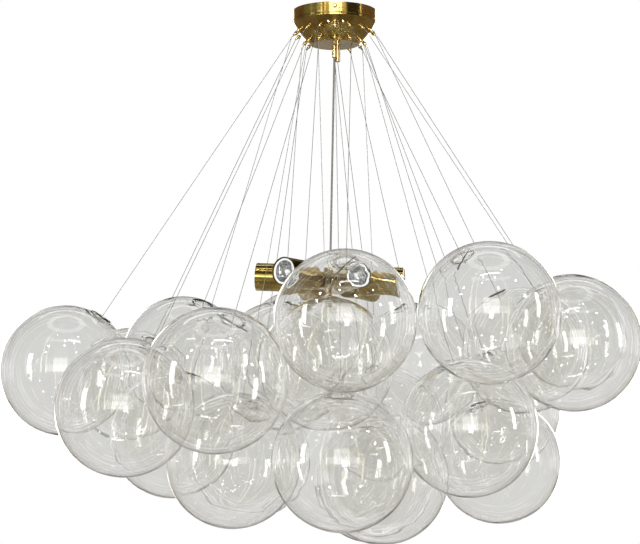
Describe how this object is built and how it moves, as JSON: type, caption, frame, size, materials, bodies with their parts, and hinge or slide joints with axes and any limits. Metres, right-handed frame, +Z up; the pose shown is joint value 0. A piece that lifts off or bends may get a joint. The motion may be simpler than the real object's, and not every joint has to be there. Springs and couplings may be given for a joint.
{
  "type": "cluster pendant",
  "caption": "Hanging light: clear glass globes on steel wires from a domed brass canopy, massed round a brass hub with a ring of tubular spot lamps.",
  "frame": {"origin": "middle of the mounting plate's ceiling face, on the canopy's axis", "axes": "+Z up out of the ceiling face, -Y towards the front of the cluster, +X to its right"},
  "size_m": [1.2561, 1.1803, 1.025],
  "materials": {
    "brushed_brass": "brushed, dark antique tone",
    "polished_brass": "polished",
    "zinc_steel": "zinc plated",
    "steel_wire": "drawn steel wire",
    "terminal_plastic": "moulded",
    "cable_sheath": "smooth sheath",
    "lead_sheath": "silicone sleeve",
    "ceramic": "glazed ceramic",
    "lamp_glass": "pressed glass with a silvered back",
    "clear_glass": "blown, clear"
  },
  "bodies": {
    "root": {"mounting_plate": "zinc_steel", "canopy_cover": "brushed_brass", "canopy_screws": "polished_brass", "cap_screws": "polished_brass", "cable_grips": "polished_brass", "lock_nuts": "zinc_steel", "canopy_glands": "polished_brass", "canopy_terminal_block": "terminal_plastic", "supply_cable": "cable_sheath", "trapped_hangers": "steel_wire"},
    "lamp_unit": {"hub_gland": "polished_brass", "lamp_hub": "brushed_brass", "hub_base": "brushed_brass", "hub_finial": "polished_brass", "hub_terminal_block": "terminal_plastic", "tube_nipples": "polished_brass", "lamp_tubes": "brushed_brass", "lamp_leads": "lead_sheath", "lamp_holders": "ceramic"},
    "swinging_globe_01": {"globe_01": "clear_glass", "hanger_01": "steel_wire"},
    "swinging_globe_02": {"globe_02": "clear_glass", "hanger_02": "steel_wire"},
    "swinging_globe_03": {"globe_03": "clear_glass", "hanger_03": "steel_wire"},
    "swinging_globe_05": {"globe_05": "clear_glass", "hanger_05": "steel_wire"},
    "swinging_globe_06": {"globe_06": "clear_glass", "hanger_06": "steel_wire"},
    "swinging_globe_07": {"globe_07": "clear_glass", "hanger_07": "steel_wire"},
    "swinging_globe_08": {"globe_08": "clear_glass", "hanger_08": "steel_wire"},
    "swinging_globe_11": {"globe_11": "clear_glass", "hanger_11": "steel_wire"},
    "swinging_globe_16": {"globe_16": "clear_glass", "hanger_16": "steel_wire"},
    "swinging_globe_20": {"globe_20": "clear_glass", "hanger_20": "steel_wire"},
    "swinging_globe_24": {"globe_24": "clear_glass", "hanger_24": "steel_wire"},
    "lamp_1": {"spot_lamp_1": "lamp_glass"},
    "lamp_2": {"spot_lamp_2": "lamp_glass"},
    "lamp_3": {"spot_lamp_3": "lamp_glass"},
    "lamp_4": {"spot_lamp_4": "lamp_glass"},
    "lamp_5": {"spot_lamp_5": "lamp_glass"},
    "lamp_6": {"spot_lamp_6": "lamp_glass"},
    "turning_globe_04": {"globe_04": "clear_glass"},
    "turning_globe_09": {"globe_09": "clear_glass"},
    "turning_globe_10": {"globe_10": "clear_glass"},
    "turning_globe_12": {"globe_12": "clear_glass"},
    "turning_globe_13": {"globe_13": "clear_glass"},
    "turning_globe_14": {"globe_14": "clear_glass"},
    "turning_globe_15": {"globe_15": "clear_glass"},
    "turning_globe_17": {"globe_17": "clear_glass"},
    "turning_globe_18": {"globe_18": "clear_glass"},
    "turning_globe_19": {"globe_19": "clear_glass"},
    "turning_globe_21": {"globe_21": "clear_glass"},
    "turning_globe_22": {"globe_22": "clear_glass"},
    "turning_globe_23": {"globe_23": "clear_glass"}
  },
  "joints": [
    {"name": "globe_01_swing", "type": "hinge", "parent": "root", "child": "swinging_globe_01", "pos_m": [-0.07547, -0.03126, -0.04861], "axis": [0.1049, 0.9945, 0], "range_deg": [0, 15]},
    {"name": "globe_02_swing", "type": "hinge", "parent": "root", "child": "swinging_globe_02", "pos_m": [-0.05776, -0.05776, -0.04861], "axis": [-0.4708, 0.8822, 0], "range_deg": [0, 15]},
    {"name": "globe_03_swing", "type": "hinge", "parent": "root", "child": "swinging_globe_03", "pos_m": [-0.07547, 0.03126, -0.04861], "axis": [0.7809, 0.6247, 0], "range_deg": [0, 15]},
    {"name": "globe_05_swing", "type": "hinge", "parent": "root", "child": "swinging_globe_05", "pos_m": [-0.03126, -0.07547, -0.04861], "axis": [-0.8799, 0.4751, 0], "range_deg": [0, 15]},
    {"name": "globe_06_swing", "type": "hinge", "parent": "root", "child": "swinging_globe_06", "pos_m": [0.03152, -0.0546, -0.0697], "axis": [-0.9989, -0.0466, 0], "range_deg": [0, 15]},
    {"name": "globe_07_swing", "type": "hinge", "parent": "root", "child": "swinging_globe_07", "pos_m": [0.03126, -0.07547, -0.04861], "axis": [-0.7646, -0.6445, 0], "range_deg": [0, 15]},
    {"name": "globe_08_swing", "type": "hinge", "parent": "root", "child": "swinging_globe_08", "pos_m": [0.05776, -0.05776, -0.04861], "axis": [-0.2893, -0.9573, 0], "range_deg": [0, 15]},
    {"name": "globe_11_swing", "type": "hinge", "parent": "root", "child": "swinging_globe_11", "pos_m": [0.05776, 0.05776, -0.04861], "axis": [0.9479, -0.3187, 0], "range_deg": [0, 15]},
    {"name": "globe_16_swing", "type": "hinge", "parent": "root", "child": "swinging_globe_16", "pos_m": [0.006, 0.01, -0.0979], "axis": [1, -0.0092, 0], "range_deg": [0, 15]},
    {"name": "globe_20_swing", "type": "hinge", "parent": "root", "child": "swinging_globe_20", "pos_m": [-0.03126, 0.07547, -0.04861], "axis": [0.9858, 0.1682, 0], "range_deg": [0, 15]},
    {"name": "globe_24_swing", "type": "hinge", "parent": "root", "child": "swinging_globe_24", "pos_m": [0.08169, 0, -0.04861], "axis": [0.5586, -0.8294, 0], "range_deg": [0, 15]},
    {"name": "lamp_unit_turn", "type": "hinge", "parent": "root", "child": "lamp_unit", "pos_m": [-0.009, 0, -0.519], "axis": [0.0199, 0, 0.9998], "range_deg": [-7, 3]},
    {"name": "lamp_1_twist", "type": "hinge", "parent": "lamp_unit", "child": "lamp_1", "pos_m": [-0.09951, 0.01273, -0.51473], "axis": [-0.9892, 0.1392, 0.0466], "range_deg": [0, 25]},
    {"name": "lamp_2_twist", "type": "hinge", "parent": "lamp_unit", "child": "lamp_2", "pos_m": [-0.06527, -0.0721, -0.51635], "axis": [-0.615, -0.788, 0.029], "range_deg": [0, 25]},
    {"name": "lamp_3_twist", "type": "hinge", "parent": "lamp_unit", "child": "lamp_3", "pos_m": [0.02524, -0.08484, -0.52061], "axis": [0.3742, -0.9272, -0.0176], "range_deg": [0, 25]},
    {"name": "lamp_4_twist", "type": "hinge", "parent": "lamp_unit", "child": "lamp_4", "pos_m": [0.08151, -0.01273, -0.52327], "axis": [0.9892, -0.1392, -0.0466], "range_deg": [0, 25]},
    {"name": "lamp_5_twist", "type": "hinge", "parent": "lamp_unit", "child": "lamp_5", "pos_m": [0.04727, 0.0721, -0.52165], "axis": [0.615, 0.788, -0.029], "range_deg": [0, 25]},
    {"name": "lamp_6_twist", "type": "hinge", "parent": "lamp_unit", "child": "lamp_6", "pos_m": [-0.04324, 0.08484, -0.51739], "axis": [-0.3742, 0.9272, 0.0176], "range_deg": [0, 25]},
    {"name": "globe_04_turn", "type": "hinge", "parent": "root", "child": "turning_globe_04", "pos_m": [-0.31086, 0.33977, -0.64507], "axis": [0.3582, -0.3991, 0.8441], "continuous": true},
    {"name": "globe_09_turn", "type": "hinge", "parent": "root", "child": "turning_globe_09", "pos_m": [0.3291, 0.23557, -0.86025], "axis": [-0.307, -0.2718, 0.9121], "continuous": true},
    {"name": "globe_10_turn", "type": "hinge", "parent": "root", "child": "turning_globe_10", "pos_m": [0.24009, -0.15993, -0.80531], "axis": [-0.2411, 0.1669, 0.9561], "continuous": true},
    {"name": "globe_12_turn", "type": "hinge", "parent": "root", "child": "turning_globe_12", "pos_m": [0.01116, -0.25011, -0.86551], "axis": [-0.0136, 0.2288, 0.9734], "continuous": true},
    {"name": "globe_13_turn", "type": "hinge", "parent": "root", "child": "turning_globe_13", "pos_m": [0.07994, 0.27498, -0.90001], "axis": [-0.0929, -0.2462, 0.9647], "continuous": true},
    {"name": "globe_14_turn", "type": "hinge", "parent": "root", "child": "turning_globe_14", "pos_m": [-0.175, 0.37, -0.855], "axis": [0.1394, -0.3919, 0.9094], "continuous": true},
    {"name": "globe_15_turn", "type": "hinge", "parent": "root", "child": "turning_globe_15", "pos_m": [-0.3155, 0.14625, -0.80931], "axis": [0.289, -0.1808, 0.9401], "continuous": true},
    {"name": "globe_17_turn", "type": "hinge", "parent": "root", "child": "turning_globe_17", "pos_m": [-0.18911, -0.06405, -0.86317], "axis": [0.167, 0.0404, 0.9851], "continuous": true},
    {"name": "globe_18_turn", "type": "hinge", "parent": "root", "child": "turning_globe_18", "pos_m": [-0.10547, 0.15552, -0.67183], "axis": [0.068, -0.2495, 0.966], "continuous": true},
    {"name": "globe_19_turn", "type": "hinge", "parent": "root", "child": "turning_globe_19", "pos_m": [-0.0143, -0.07827, -0.68334], "axis": [-0.028, 0.0385, 0.9989], "continuous": true},
    {"name": "globe_21_turn", "type": "hinge", "parent": "root", "child": "turning_globe_21", "pos_m": [0.08981, 0.02023, -0.89511], "axis": [-0.0426, 0.0137, 0.999], "continuous": true},
    {"name": "globe_22_turn", "type": "hinge", "parent": "root", "child": "turning_globe_22", "pos_m": [0.17498, 0.27004, -0.6649], "axis": [-0.221, -0.3319, 0.917], "continuous": true},
    {"name": "globe_23_turn", "type": "hinge", "parent": "root", "child": "turning_globe_23", "pos_m": [0.37054, 0.11101, -0.64481], "axis": [-0.4338, -0.2091, 0.8764], "continuous": true}
  ]
}
